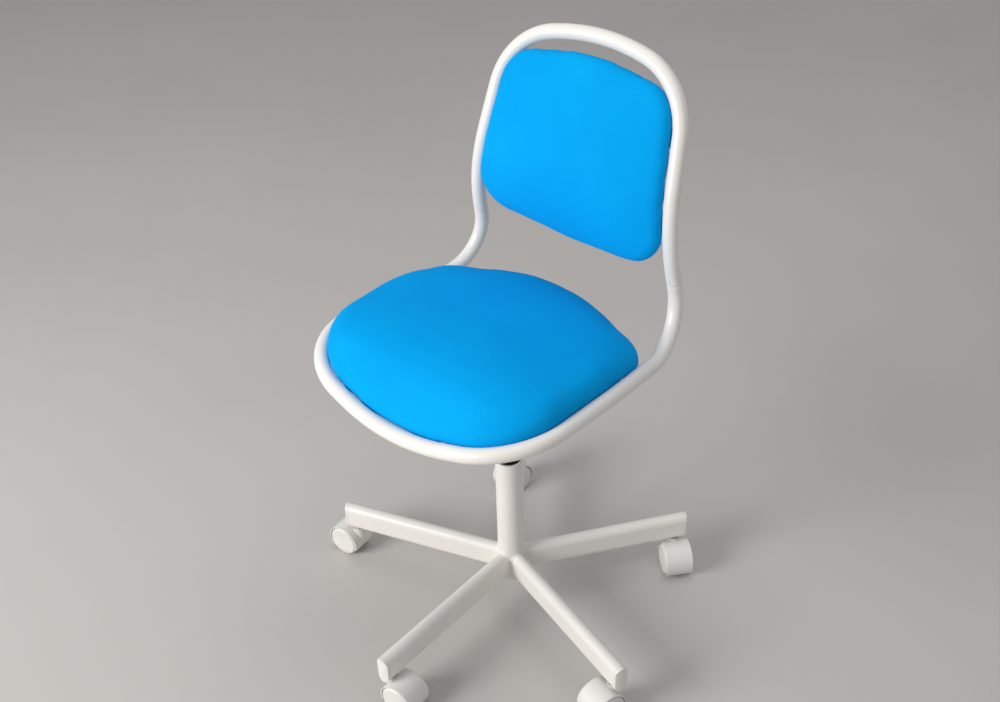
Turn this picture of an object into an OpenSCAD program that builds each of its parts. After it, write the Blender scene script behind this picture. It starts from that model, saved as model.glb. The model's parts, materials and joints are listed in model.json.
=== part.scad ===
// Junior desk chair on five hooded twin-wheel castors, with a gas lift.
// The chair faces -Y, the sitter's left is +X, and the column axis meets the floor at the origin.

/* [Frame tube] */
// Outer diameter of the bent frame tube
tube_d = 20; // [16:0.5:25]
// Wall of the frame tube
tube_wall = 1.5; // [1.2:0.1:2]
// How much narrower the tube becomes where it is bent
bend_draw = 0.15; // [0.1:0.05:0.3]
// Width between the rails at the side bends, tube centre to tube centre
rail_w = 382; // [340:2:420]
// Width between the front corners
front_w = 360; // [320:2:400]
// Width between the rear bends
rear_w = 338; // [300:2:360]
// Distance of the front corners ahead of the column axis
front_reach = 196; // [170:2:220]
// How far the front rail bows ahead of its corners
front_bow = 26; // [10:1:40]
// How far the front rail dips below its corners
front_dip = 40; // [15:1:50]
// Bend radius in the middle of the front rail
front_mid_r = 325; // [200:5:400]
// Bend radius of the front corners
front_corner_r = 100; // [70:2:110]
// Height of the side rails above the floor, at the height in the picture
rail_z = 480; // [456:2:506]
// Distance of the side bends ahead of the column axis
side_bend_reach = 16; // [0:2:40]
// Bend radius of the side bends
side_bend_r = 255; // [150:5:300]
// Distance of the rear bends behind the column axis
rear_reach = 163; // [150:1:180]
// How far the rails fall towards the rear bends
rear_fall = 33; // [15:1:45]
// Bend radius of the rear bends
rear_bend_r = 64; // [50:1:72]

/* [Back frame] */
// Height of the lumbar bend above the side rails
lumbar_rise = 139; // [125:1:160]
// Distance of the lumbar bend behind the column axis
lumbar_reach = 129; // [115:1:140]
// Width between the uprights at the lumbar bend
lumbar_w = 312; // [290:2:330]
// Bend radius of the lumbar bend
lumbar_r = 220; // [150:5:240]
// Height of the top corners above the side rails
top_rise = 317; // [290:1:350]
// Distance of the top corners behind the column axis
top_reach = 185; // [165:1:200]
// Width between the top corners
top_w = 272; // [250:2:300]
// Bend radius of the top corners
top_corner_r = 95; // [70:1:98]
// How far the top rail rises in the middle
top_bow = 25; // [10:1:32]
// How far the top rail leans back in the middle
top_lean = 16; // [5:1:25]
// Bend radius in the middle of the top rail
top_mid_r = 290; // [200:5:300]
// Length of the reduced tube end inside the joint
spigot_length = 14; // [10:1:16]
// Length of the narrow neck seen between the two tubes
neck_length = 4.5; // [2:0.5:5]
// Diameter of the pins that lock the joint
pin_d = 3; // [2.5:0.5:4]

/* [Seat] */
// Distance of the front cross bar ahead of the column axis
front_bar_reach = 90; // [75:1:100]
// Distance of the rear cross bar behind the column axis
rear_bar_reach = 50; // [40:1:54]
// Width of the flat cross bars
bar_w = 34; // [24:1:40]
// Thickness of the flat cross bars
bar_t = 5; // [4:0.5:6]
// How far the cross bars' top lies below the rail centres
bar_sink = 3.5; // [2:0.5:4]
// Thickness of the plywood seat board
seat_board_t = 9; // [6:0.5:12]
// Height of the seat cushion's crown above the board's underside
seat_crown = 50; // [38:1:60]
// Part of the crown that is a wide dome, the rest being the cushion's edge
seat_dome = 12; // [6:1:16]
// Distance of the cushion's rear edge behind the column axis
seat_rear_reach = 115; // [100:1:118]
// How far the rear edge curves forward towards its corners
seat_rear_bow = 47; // [35:1:55]
// How much the seat cushion thins towards its rear corners
seat_corner_thin = 10; // [0:1:12]
// Gap between a cushion and the frame tube beside it
cushion_gap = 1.5; // [1:0.1:3]

/* [Back pad] */
// Height of the pad's lower edge above the side rails
pad_low_rise = 84; // [80:1:107]
// Height of the pad's upper edge above the side rails
pad_high_rise = 311; // [290:1:316]
// How far the pad's upper edge bows upward in the middle
pad_high_bow = 13; // [4:1:20]
// How far the pad's lower edge bows downward in the middle
pad_low_bow = 5; // [2:1:12]
// Radius of the pad's corners
pad_corner_r = 47; // [30:1:55]
// Gap between the pad and the uprights
pad_gap = 2.5; // [1:0.1:5]
// Height of the pad's edge in front of the tube centres
pad_edge = 6.5; // [2:0.5:8]
// Thickness of the back board
back_board_t = 8; // [6:0.5:10]
// Height of the pad's crown in front of the tube centres
pad_crown = 26; // [18:1:30]
// Part of the pad's crown that is a wide dome
pad_dome = 9; // [4:1:11]

/* [Gas lift] */
// Outer diameter of the white column tube
column_d = 39; // [36:0.5:44]
// Wall of the column tube
column_wall = 2; // [1.5:0.25:2.5]
// Height of the column tube's top above the floor
column_top = 267; // [250:1:270]
// Diameter of the sliding gas cylinder
cylinder_d = 28; // [26:0.5:30]
// Diameter of the piston rod
rod_d = 10; // [8:0.5:12]
// Travel of the seat below the height in the picture
lift_down = 110; // [90:1:115]
// Travel of the seat above the height in the picture
lift_up = 10; // [0:1:15]
// Radial clearance of every sliding or turning fit
running_gap = 0.05; // [0.03:0.01:0.08]

/* [Star base] */
// Distance of the arm tips from the column axis
arm_reach = 275; // [250:1:300]
// Width of the flat-oval arm tube
arm_w = 20; // [18:0.5:24]
// Height of the flat-oval arm tube
arm_h = 42.5; // [36:0.5:46]
// Wall of the arm tube
arm_wall = 1.5; // [1.2:0.1:2]
// Height of the arms' underside above the floor
arm_z = 51.5; // [51.5:0.5:58]
// Thickness of the end caps outside the tube
cap_t = 6; // [3:0.5:8]

/* [Castors] */
// Wheel diameter
wheel_d = 48; // [44:0.5:48]
// Overall width across both wheel faces
wheel_span = 42; // [40.5:0.5:44]
// Distance from the swivel axis to the axle
trail = 19.5; // [18.5:0.5:21]
// Distance from the arm tip to the swivel axis
stem_setback = 18; // [15:0.5:24]
// Diameter of the stem in the arm
stem_d = 11; // [9:0.5:12]
// Diameter of the wheel axle
axle_d = 6; // [5:0.5:7]
// Outer diameter of the hood
hood_d = 53.5; // [53:0.5:54]
// Width of the hood
hood_w = 40; // [38:0.5:40.5]

/* [Hidden] */

$fn = 72;
white = "white";
steel = "silver";
black = "black";
blue = "deepskyblue";
wood = "burlywood";

// Arm directions and the way each castor trails at rest, in degrees from +X
arm_count = 5;
arm_angle = [for (k = [0 : arm_count - 1]) 270 + k * 360 / arm_count];
trail_angle = [5, 253, 319, -98, 186];

// Small geometry functions
function unit(v) = v / norm(v);
function mix(a, b, t) = a + (b - a) * t;
function turn(a, b, c) = acos(unit(b - a) * unit(c - b));
function setback(a, b, c, r) = r * tan(turn(a, b, c) / 2);
function bend_centre(a, b, c, r) = b + unit(unit(a - b) + unit(c - b)) * r / cos(turn(a, b, c) / 2);
function bend_start(a, b, c, r) = b + unit(a - b) * setback(a, b, c, r);
function bend_end(a, b, c, r) = b + unit(c - b) * setback(a, b, c, r);

// Points along a bend: the turn is cut into equal steps
function bend_points(a, b, c, r, steps) =
    let (
        m = bend_centre(a, b, c, r),
        x = unit(bend_start(a, b, c, r) - m),
        n = unit(cross(x, bend_end(a, b, c, r) - m)),
        y = cross(n, x),
        whole = turn(a, b, c)
    )
    [for (k = [0 : steps]) m + r * (cos(whole * k / steps) * x + sin(whole * k / steps) * y)];

// Points along a bent line, from its first corner's bend to its last
function path_points(p, r, steps) =
    [for (i = [1 : len(p) - 2]) each bend_points(p[i - 1], p[i], p[i + 1], r[i], steps)];

// A closed outline with its long sides cut into shorter ones
function dense(ring, step) =
    [for (i = [0 : len(ring) - 1])
        let (a = ring[i], b = ring[(i + 1) % len(ring)], parts = ceil(norm(b - a) / step))
        for (j = [0 : parts - 1]) mix(a, b, j / parts)];

function mirrored(p) = [-p[0], p[1], p[2]];
function reversed(list) = [for (i = [len(list) - 1 : -1 : 0]) list[i]];

// Corners of the frame tube, sitter's left side
front_mid = [0, -front_reach - front_bow, rail_z - front_dip];
front_corner = [front_w / 2, -front_reach, rail_z];
side_bend = [rail_w / 2, -side_bend_reach, rail_z];
rear_bend = [rear_w / 2, rear_reach, rail_z - rear_fall];
lumbar_bend = [lumbar_w / 2, lumbar_reach, rail_z + lumbar_rise];
top_corner = [top_w / 2, top_reach, rail_z + top_rise];
top_mid = [0, top_reach + top_lean, rail_z + top_rise + top_bow];

// The two tubes meet on the straight stretch just above the rear bends
upright_dir = unit(lumbar_bend - rear_bend);
joint_gap = 5.5;
joint_at = setback(side_bend, rear_bend, lumbar_bend, rear_bend_r) + joint_gap;
joint = rear_bend + upright_dir * joint_at;
joint_high = joint + upright_dir * neck_length;

seat_half = [joint, rear_bend, side_bend, front_corner];
seat_half_r = [0, rear_bend_r, side_bend_r, front_corner_r];
seat_path = concat(seat_half, [front_mid], [for (p = reversed(seat_half)) mirrored(p)]);
seat_path_r = concat(seat_half_r, [front_mid_r], reversed(seat_half_r));

back_half = [joint_high, lumbar_bend, top_corner];
back_half_r = [0, lumbar_r, top_corner_r];
back_path = concat(back_half, [top_mid], [for (p = reversed(back_half)) mirrored(p)]);
back_path_r = concat(back_half_r, [top_mid_r], reversed(back_half_r));

tube_bore = tube_d - 2 * tube_wall;
spigot_gap = 0.15;
spigot_d = tube_bore - 2 * spigot_gap;
spigot_wall = 1.9;
spigot_collar = 4;
neck_step = 0.5;

// Sampled tube centres, for what lies along the tube
bend_steps = 8;
seat_points = path_points(seat_path, seat_path_r, bend_steps);
back_points = path_points(back_path, back_path_r, bend_steps);
rail_side = [for (p = reversed([for (i = [0 : 3 * bend_steps + 2]) seat_points[i]])) p];
rail_heights = [for (p = rail_side) if (p[1] < rear_reach - rear_bend_r) [p[1], p[2]]];
rail_halves = [for (p = rail_side) if (p[1] < rear_reach - rear_bend_r) [p[1], p[0]]];
upright_side = concat([joint], [for (i = [0 : 2 * bend_steps + 1]) back_points[i]]);
upright_reaches = [for (p = upright_side) [p[2], p[1]]];
upright_halves = [for (p = upright_side) [p[2], p[0]]];

// Seat plane: the cross bars' top, parallel to the line between the rails at both bars
front_bar_rail = lookup(-front_bar_reach, rail_heights);
rear_bar_rail = lookup(rear_bar_reach, rail_heights);
seat_tilt = atan((front_bar_rail - rear_bar_rail) / (front_bar_reach + rear_bar_reach));
seat_plane_z = front_bar_rail - bar_sink - front_bar_reach * tan(seat_tilt);

// Back plane: through the uprights' centres near both ends of the pad
pad_low_z = rail_z + pad_low_rise;
pad_high_z = rail_z + pad_high_rise;
back_low_y = lookup(pad_low_z, upright_reaches);
back_high_y = lookup(pad_high_z - pad_corner_r / 2, upright_reaches);
back_tilt = atan((back_high_y - back_low_y) / (pad_high_z - pad_corner_r / 2 - pad_low_z));

module seat_frame() translate([0, 0, seat_plane_z]) rotate([-seat_tilt, 0, 0]) children();
module back_frame() translate([0, back_low_y, pad_low_z]) rotate([90 - back_tilt, 0, 0]) children();

// A world point in the seat's or the back's own plane
function to_seat(p) =
    let (z = p[2] - seat_plane_z)
    [p[0], p[1] * cos(seat_tilt) - z * sin(seat_tilt), p[1] * sin(seat_tilt) + z * cos(seat_tilt)];
function to_back(p) =
    let (y = p[1] - back_low_y, z = p[2] - pad_low_z)
    [p[0], z * cos(back_tilt) + y * sin(back_tilt), z * sin(back_tilt) - y * cos(back_tilt)];

// Outline of the seat cushion in the seat's plane, beside the tube and round the rear
inset = tube_d / 2 + cushion_gap;
function beside(list, i, by) =
    let (
        a = list[max(i - 1, 0)],
        b = list[min(i + 1, len(list) - 1)],
        t = unit([b[0] - a[0], b[1] - a[1]])
    )
    [list[i][0] + t[1] * by, list[i][1] - t[0] * by, list[i][2]];
rim_points = [for (p = seat_points) if (p[1] < seat_rear_reach - seat_rear_bow) to_seat(p)];
outline_step = 22;
rim_lift = 3;
rear_drop = 4;
rear_corner_r = 50;
rear_mid_r = 230;
function seat_outline(by) =
    let (
        sides = [for (i = [0 : len(rim_points) - 1]) beside(rim_points, i, by)],
        first = sides[0],
        last = sides[len(sides) - 1],
        rise = first[2] - rear_drop,
        corner = [first[0] - 4, seat_rear_reach - seat_rear_bow, 0],
        middle = [0, seat_rear_reach + seat_rear_bow * 0.4, 0],
        rear = path_points(
            [[last[0], last[1], 0], mirrored(corner), middle, corner, [first[0], first[1], 0]],
            [0, rear_corner_r, rear_mid_r, rear_corner_r, 0], 6)
    )
    dense(concat(sides, [for (p = rear) [p[0], p[1], rise]]), outline_step);

// Outline of the back pad in the back's plane
pad_height = (pad_high_z - pad_low_z) / cos(back_tilt);
pad_inset = tube_d / 2 + pad_gap;
function pad_half(v) = lookup(pad_low_z + v * cos(back_tilt), upright_halves) - pad_inset;
function pad_lift(v) =
    let (z = pad_low_z + v * cos(back_tilt))
    to_back([0, lookup(z, upright_reaches), z])[2];
pad_side_low = pad_corner_r;
pad_side_high = pad_height - pad_corner_r;
pad_slope = (pad_half(pad_side_low) - pad_half(pad_side_high)) / (pad_side_high - pad_side_low);
pad_corner_low = [pad_half(pad_side_low) + pad_slope * (pad_side_low - pad_low_bow), pad_low_bow, 0];
pad_corner_high = [
    pad_half(pad_side_high) - pad_slope * (pad_corner_r - pad_high_bow), pad_height - pad_high_bow, 0
];
pad_mid_r = 260;
function pad_outline(by) =
    let (
        low = pad_corner_low + [-by, by, 0],
        high = pad_corner_high + [-by, -by, 0],
        low_mid = [0, by - pad_low_bow / 2, 0],
        high_mid = [0, pad_height - by + pad_high_bow / 2, 0],
        r = pad_corner_r - by,
        ring = [low_mid, low, high, high_mid, mirrored(high), mirrored(low)],
        radius = [pad_mid_r, r, r, pad_mid_r, r, r],
        n = len(ring)
    )
    dense([for (i = [0 : n - 1])
        each bend_points(ring[(i + n - 1) % n], ring[i], ring[(i + 1) % n], radius[i], 8)], outline_step);

// A crowned cushion over an outline: flat below, drawn in at the rim and domed above.
// The function bent gives the height that bends the cushion, above its rim or below it.
// Each ring is [share of the outline, share of the rim's own height, height], and the
// underside is level up to the share called flat
function cushion_rings(flat, crown, dome, low, high) = concat(
    [[flat, 0, 0], [0.93, 0.6, 0], [0.985, 1, low], [1, 1, (low + high) / 2]],
    [for (t = [0.995, 0.98, 0.955, 0.92, 0.86, 0.77, 0.64, 0.45, 0.22])
        [t, pow(t, 5), (1 - pow(t, 5)) * (crown - dome) * pow(1 - pow(t, 9), 0.45)
            + pow(t, 5) * (high + (crown - dome - high) * pow(1 - pow(t, 9), 0.45))
            + dome * (1 - t * t)]]
);
rim_ring = 3;
module cushion(outline, centre, crown, rings, bent) {
    n = len(outline);
    m = len(rings);
    points = concat(
        [[0, centre, bent(0, centre, false)]],
        [for (k = [0 : m - 1]) for (p = outline)
            let (r = rings[k], x = p[0] * r[0], y = mix(centre, p[1], r[0]))
            [x, y, p[2] * r[1] + r[2] + bent(x, y, k > rim_ring)]],
        [[0, centre, crown + bent(0, centre, true)]]
    );
    last = m * n + 1;
    polyhedron(points, concat(
        [for (i = [0 : n - 1]) [0, 1 + i, 1 + (i + 1) % n]],
        [for (k = [0 : m - 2]) for (i = [0 : n - 1])
            [1 + k * n + i, 1 + (k + 1) * n + i, 1 + k * n + (i + 1) % n]],
        [for (k = [0 : m - 2]) for (i = [0 : n - 1])
            [1 + k * n + (i + 1) % n, 1 + (k + 1) * n + i, 1 + (k + 1) * n + (i + 1) % n]],
        [for (i = [0 : n - 1]) [last, 1 + (m - 1) * n + (i + 1) % n, 1 + (m - 1) * n + i]]
    ));
}

// Bent tube made of straight stretches and bends
module placed(origin, x, y, z) {
    multmatrix([
        [x[0], y[0], z[0], origin[0]],
        [x[1], y[1], z[1], origin[1]],
        [x[2], y[2], z[2], origin[2]]
    ]) children();
}
module ring_section(d, bore) {
    difference() {
        circle(d = d);
        if (bore > 0) circle(d = bore);
    }
}
module upright(from, z) {
    x = unit(cross(z, abs(z[0]) < 0.9 ? [1, 0, 0] : [0, 1, 0]));
    placed(from, x, cross(z, x), z) children();
}
module stretch(from, to, d, bore) {
    upright(from, unit(to - from))
        linear_extrude(norm(to - from))
            ring_section(d, bore);
}
module bend(a, b, c, r, d, bore) {
    m = bend_centre(a, b, c, r);
    x = unit(bend_start(a, b, c, r) - m);
    n = unit(cross(x, bend_end(a, b, c, r) - m));
    placed(m, x, cross(n, x), n)
        rotate_extrude(angle = turn(a, b, c))
            translate([r, 0])
                ring_section(d - bend_draw, bore - bend_draw);
}
// Each straight stretch laps a little way over the bends at its ends
lap = 1;
module bent_tube(p, r, d, bore) {
    last = len(p) - 1;
    for (i = [1 : last - 1])
        bend(p[i - 1], p[i], p[i + 1], r[i], d, bore);
    for (i = [0 : last - 1]) {
        from = i == 0 ? p[0] : bend_end(p[i - 1], p[i], p[i + 1], r[i]);
        to = i == last - 1 ? p[last] : bend_start(p[i], p[i + 1], p[i + 2], r[i + 1]);
        way = unit(to - from);
        stretch(from - (i == 0 ? 0 : lap) * way, to + (i == last - 1 ? 0 : lap) * way, d, bore);
    }
}

// Pins that lock the two tubes, painted over on the front of each upright
pin_rise = 7;
pin_depth = 5;
pin_proud = 0.3;
module joint_pin(side) {
    across = unit(cross(upright_dir, [1, 0, 0]));
    out = across[1] < 0 ? across : -across;
    at = joint_high + upright_dir * pin_rise;
    face = at + out * (tube_d / 2 + pin_proud);
    back = at + out * (tube_d / 2 - pin_depth);
    if (side > 0)
        stretch(back, face, pin_d, 0);
    else
        stretch(mirrored(back), mirrored(face), pin_d, 0);
}
module joint_pins() color(white) {
    joint_pin(1);
    joint_pin(-1);
}

// The seat tube's end: a collar in its wall, a short neck, and the spigot in the back tube
module spigot(at, dir) {
    outer = spigot_d / 2;
    inner = outer - spigot_wall;
    collar = tube_bore / 2 + tube_wall / 2;
    neck = tube_d / 2 - neck_step;
    high = neck_length + spigot_length;
    upright(at, dir)
        rotate_extrude()
            polygon([
                [inner, -spigot_collar], [collar, -spigot_collar], [collar, -1], [neck, -1],
                [neck, neck_length], [outer, neck_length], [outer, high], [inner, high]
            ]);
}
module seat_tube() color(white) {
    difference() {
        union() {
            bent_tube(seat_path, seat_path_r, tube_d, tube_bore);
            spigot(joint, upright_dir);
            spigot(mirrored(joint), mirrored(upright_dir));
        }
        joint_pins();
    }
}
module back_tube() color(white) {
    difference() {
        bent_tube(back_path, back_path_r, tube_d, tube_bore);
        joint_pins();
    }
}
module seat_tube_solid() bent_tube(seat_path, seat_path_r, tube_d, 0);
module back_tube_solid() bent_tube(back_path, back_path_r, tube_d, 0);

// Flat cross bars, welded between the rails
bolt_d = 6;
bolt_hole_d = 6.4;
bolt_spread = 90;
bar_into_rail = 3;
module at_bolts(reach) {
    for (x = [-bolt_spread / 2, bolt_spread / 2])
        translate([x, reach / cos(seat_tilt), 0]) children();
}
module seat_bar(reach, half) {
    difference() {
        seat_frame()
            difference() {
                translate([-half + bar_into_rail, reach / cos(seat_tilt) - bar_w / 2, -bar_t])
                    cube([2 * (half - bar_into_rail), bar_w, bar_t]);
                at_bolts(reach) translate([0, 0, -bar_t - 1]) cylinder(d = bolt_hole_d, h = bar_t + 2);
            }
        seat_tube_solid();
    }
}
module seat_bar_front() color(white) seat_bar(-front_bar_reach, lookup(-front_bar_reach, rail_halves));
module seat_bar_rear() color(white) seat_bar(rear_bar_reach, lookup(rear_bar_reach, rail_halves));

// Seat board and cushion
board_margin = 12;
board_front = 160;
insert_depth = 8;
module seat_board_slab() {
    intersection() {
        linear_extrude(seat_board_t)
            polygon([for (p = seat_outline(inset + board_margin)) [p[0], p[1]]]);
        translate([-rail_w, -board_front, 0]) cube([2 * rail_w, 2 * rail_w, seat_board_t]);
    }
}
module seat_board() color(wood) seat_frame() {
    difference() {
        seat_board_slab();
        for (reach = [-front_bar_reach, rear_bar_reach])
            at_bolts(reach) translate([0, 0, -1]) cylinder(d = bolt_d, h = insert_depth + 1);
    }
}
seat_centre = -40;
cloth_gap = 0.1;
function corner_thinning(x, y) =
    seat_corner_thin * pow(2 * x / rail_w, 2) * pow(max(y, 0) / (seat_rear_reach - seat_rear_bow), 2);
module seat_cushion() color(blue) seat_frame() {
    difference() {
        cushion(
            [for (p = seat_outline(inset)) [p[0], p[1], p[2] + rim_lift]],
            seat_centre, seat_crown,
            cushion_rings(0.8, seat_crown, seat_dome, -5, 2),
            function (x, y, above) above ? -corner_thinning(x, y) : cloth_gap);
        seat_board_slab();
    }
}
bolt_head_d = 12;
bolt_head_t = 4;
tray_t = 2.5;
module seat_bolts() color(steel) seat_frame() {
    for (reach = [-front_bar_reach, rear_bar_reach])
        at_bolts(reach) {
            translate([0, 0, -bar_t - tray_t]) cylinder(d = bolt_d, h = bar_t + tray_t + insert_depth);
            translate([0, 0, -bar_t - tray_t - bolt_head_t]) cylinder(d = bolt_head_d, h = bolt_head_t);
        }
}

// Back board, cushion, tabs and screws
back_rear = back_board_t / 2;
screw_d = 5;
screw_head_d = 8;
screw_head_t = 3;
screw_depth = 6;
tab_t = 3;
tab_gap = 0.5;
tab_length = 44;
tab_screw_edge = 10;
// The board and its tabs follow the uprights' bend in short flat steps
strip_steps = 24;
tab_steps = [5, 16];
tab_span = 3;
function strip_at(k) = k * pad_height / strip_steps;
module back_strip(from, to, low, high, width) {
    translate([-width / 2, 0, 0])
        rotate([90, 0, 90])
            linear_extrude(width)
                polygon(concat(
                    [for (k = [from : to]) [strip_at(k), pad_lift(strip_at(k)) + low]],
                    [for (k = [to : -1 : from]) [strip_at(k), pad_lift(strip_at(k)) + high]]
                ));
}
module back_board_slab() {
    intersection() {
        back_strip(0, strip_steps, -back_rear, back_rear, rail_w);
        translate([0, 0, -rail_w / 2])
            linear_extrude(rail_w)
                polygon([for (p = pad_outline(board_margin)) [p[0], p[1]]]);
    }
}
// The flat step of the strip that each tab's screws go through
function tab_low(k) = strip_at(k + floor(tab_span / 2));
function tab_high(k) = tab_low(k) + strip_at(1);
function tab_slope(k) = atan((pad_lift(tab_high(k)) - pad_lift(tab_low(k))) / strip_at(1));
module at_tab_screw(k, side) {
    mid = (tab_low(k) + tab_high(k)) / 2;
    lift = (pad_lift(tab_low(k)) + pad_lift(tab_high(k))) / 2;
    x = pad_half(mid) + pad_inset - tab_length + tab_screw_edge;
    translate([side * x, mid, lift - back_rear]) rotate([tab_slope(k), 0, 0]) children();
}
module tab_screw_holes(low, high) {
    for (k = tab_steps)
        for (side = [1, -1])
            at_tab_screw(k, side) translate([0, 0, low]) cylinder(d = screw_d, h = high - low);
}
module back_board() color(wood) back_frame() {
    difference() {
        back_board_slab();
        tab_screw_holes(-1, screw_depth);
    }
}
module back_cushion() color(blue) back_frame() {
    difference() {
        cushion(
            pad_outline(0), pad_height / 2, pad_crown,
            cushion_rings(0.5, pad_crown, pad_dome, tab_gap - back_rear, pad_edge),
            function (x, y, above) pad_lift(y));
        back_board_slab();
    }
}
module back_tabs() color(white) {
    difference() {
        back_frame()
            difference() {
                for (k = tab_steps)
                    for (side = [1, -1]) {
                        x = pad_half(strip_at(k + tab_span / 2)) + pad_inset - tab_length / 2;
                        translate([side * x, 0, 0])
                            back_strip(k, k + tab_span, -back_rear - tab_t, -back_rear, tab_length);
                    }
                tab_screw_holes(-2 * tab_t, tab_t);
            }
        back_tube_solid();
    }
}
module back_screws() color(steel) back_frame() {
    for (k = tab_steps)
        for (side = [1, -1]) {
            face = -tab_t * cos(tab_slope(k));
            at_tab_screw(k, side) {
                translate([0, 0, face]) cylinder(d = screw_d, h = screw_depth - face);
                translate([0, 0, face - screw_head_t]) cylinder(d = screw_head_d, h = screw_head_t);
            }
        }
}

// Mechanism tray: flanges on the cross bars, a dropped channel between them
tray_w = 120;
tray_drop = 27;
tray_wall_y = 30;
tray_edge = 14;
socket_d = 38;
socket_low = 51;
cylinder_top_drop = 20;
cone_length = 31;
cone_taper = 0.8;
cylinder_top = seat_plane_z - bar_t - cylinder_top_drop;
cone_low = cylinder_top - cone_length;
pivot_x = -30;
pivot_d = 6;
button_d = 8;
button_proud = 6;
button_depth = 14;
nose_r = 4;
touch = 0.02;
pivot_z = cylinder_top + button_proud + touch + nose_r;
module cone_body(grow) {
    translate([0, 0, cone_low])
        cylinder(r1 = cylinder_d / 2 + grow, r2 = cylinder_d / 2 - cone_taper + grow, h = cone_length);
}
module tray_block(y0, y1, z0, z1) translate([-tray_w / 2, y0, z0]) cube([tray_w, y1 - y0, z1 - z0]);
module mechanism_tray() color(steel) {
    front = -(front_bar_reach / cos(seat_tilt)) - tray_edge;
    rear = rear_bar_reach / cos(seat_tilt) + tray_edge;
    difference() {
        seat_frame()
            difference() {
                union() {
                    tray_block(front, -tray_wall_y, -bar_t - tray_t, -bar_t);
                    tray_block(tray_wall_y, rear, -bar_t - tray_t, -bar_t);
                    tray_block(-tray_wall_y - tray_t, -tray_wall_y, -bar_t - tray_drop, -bar_t);
                    tray_block(tray_wall_y, tray_wall_y + tray_t, -bar_t - tray_drop, -bar_t);
                    tray_block(-tray_wall_y - tray_t, tray_wall_y + tray_t,
                        -bar_t - tray_drop, -bar_t - tray_drop + tray_t);
                }
                for (reach = [-front_bar_reach, rear_bar_reach])
                    at_bolts(reach) translate([0, 0, -bar_t - 2 * tray_t]) cylinder(d = bolt_hole_d, h = 3 * tray_t);
            }
        translate([0, 0, cone_low - cone_length]) cylinder(d = socket_d, h = 3 * cone_length);
        lever_pin_body();
    }
}
module cone_socket() color(steel) {
    difference() {
        translate([0, 0, cone_low]) cylinder(d = socket_d, h = cone_length);
        cone_body(0);
    }
}
module lever_pin_body() {
    length = 2 * (tray_wall_y + tray_t) + 4;
    translate([pivot_x, length / 2, pivot_z]) rotate([90, 0, 0]) cylinder(d = pivot_d, h = length);
}
module lever_pin() color(steel) lever_pin_body();

// Gas cylinder, rod and what holds the rod in the column
column_low = arm_z - 6;
floor_z = column_low + 4;
floor_t = 5;
bushing_length = 60;
gland_t = 15;
cylinder_wall = 2;
cylinder_low = column_top - bushing_length - lift_up - 5;
chamber_low = cylinder_low + gland_t;
chamber_top = cone_low + 6;
piston_t = 10;
piston_low = chamber_low + lift_up + 3;
washer_t = 1.5;
rod_neck_d = 8;
washer_d = 20;
clip_d = 15;
column_bore = column_d - 2 * column_wall;
bushing_lip_d = column_bore - 2;
bushing_lip_t = 1.5;
module gas_cylinder() color(black) {
    difference() {
        union() {
            translate([0, 0, cylinder_low]) cylinder(d = cylinder_d, h = cone_low - cylinder_low);
            cone_body(0);
        }
        translate([0, 0, chamber_low])
            cylinder(d = cylinder_d - 2 * cylinder_wall, h = chamber_top - chamber_low);
        translate([0, 0, cylinder_low - 1]) cylinder(d = rod_d + 2 * running_gap, h = gland_t + 2);
        translate([0, 0, cylinder_top - button_depth])
            cylinder(d = button_d + 2 * running_gap, h = button_depth + 1);
    }
}
button_travel = 3.2;
module release_button() color(steel) {
    low = cylinder_top - button_depth + button_travel + 1;
    translate([0, 0, low]) cylinder(d = button_d, h = cylinder_top + button_proud - low);
}
module piston_rod() color(steel) {
    shoulder = floor_z + floor_t + running_gap + washer_t;
    neck_low = floor_z - running_gap - washer_t - 1.5;
    translate([0, 0, neck_low]) cylinder(d = rod_neck_d, h = shoulder - neck_low);
    translate([0, 0, shoulder]) cylinder(d = rod_d, h = piston_low - shoulder);
    translate([0, 0, piston_low])
        cylinder(d = cylinder_d - 2 * cylinder_wall - 2 * running_gap, h = piston_t);
}
module washer_ring(z, d) {
    translate([0, 0, z])
        difference() {
            cylinder(d = d, h = washer_t);
            translate([0, 0, -1]) cylinder(d = rod_neck_d, h = washer_t + 2);
        }
}
module thrust_washer() color(steel) washer_ring(floor_z + floor_t + running_gap, washer_d);
module rod_clip() color(steel) washer_ring(floor_z - running_gap - washer_t, clip_d);
module column_floor() color(steel) {
    translate([0, 0, floor_z])
        difference() {
            cylinder(d = column_bore, h = floor_t);
            translate([0, 0, -1]) cylinder(d = rod_neck_d + 2 * running_gap, h = floor_t + 2);
        }
}
rim_t = 6;
rim_d = column_d + 1.4;
module column_tube() color(white) {
    difference() {
        union() {
            translate([0, 0, column_low]) cylinder(d = column_d, h = column_top - column_low);
            translate([0, 0, column_top - rim_t]) cylinder(d = rim_d, h = rim_t);
        }
        translate([0, 0, column_low - 1]) cylinder(d = column_bore, h = column_top - column_low + 2);
    }
}
module guide_bushing() color(black) {
    difference() {
        union() {
            translate([0, 0, column_top - bushing_length]) cylinder(d = column_bore, h = bushing_length);
            translate([0, 0, column_top]) cylinder(d = bushing_lip_d, h = bushing_lip_t);
        }
        translate([0, 0, column_top - bushing_length - 1])
            cylinder(d = cylinder_d + 2 * running_gap, h = bushing_length + bushing_lip_t + 2);
    }
}

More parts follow.
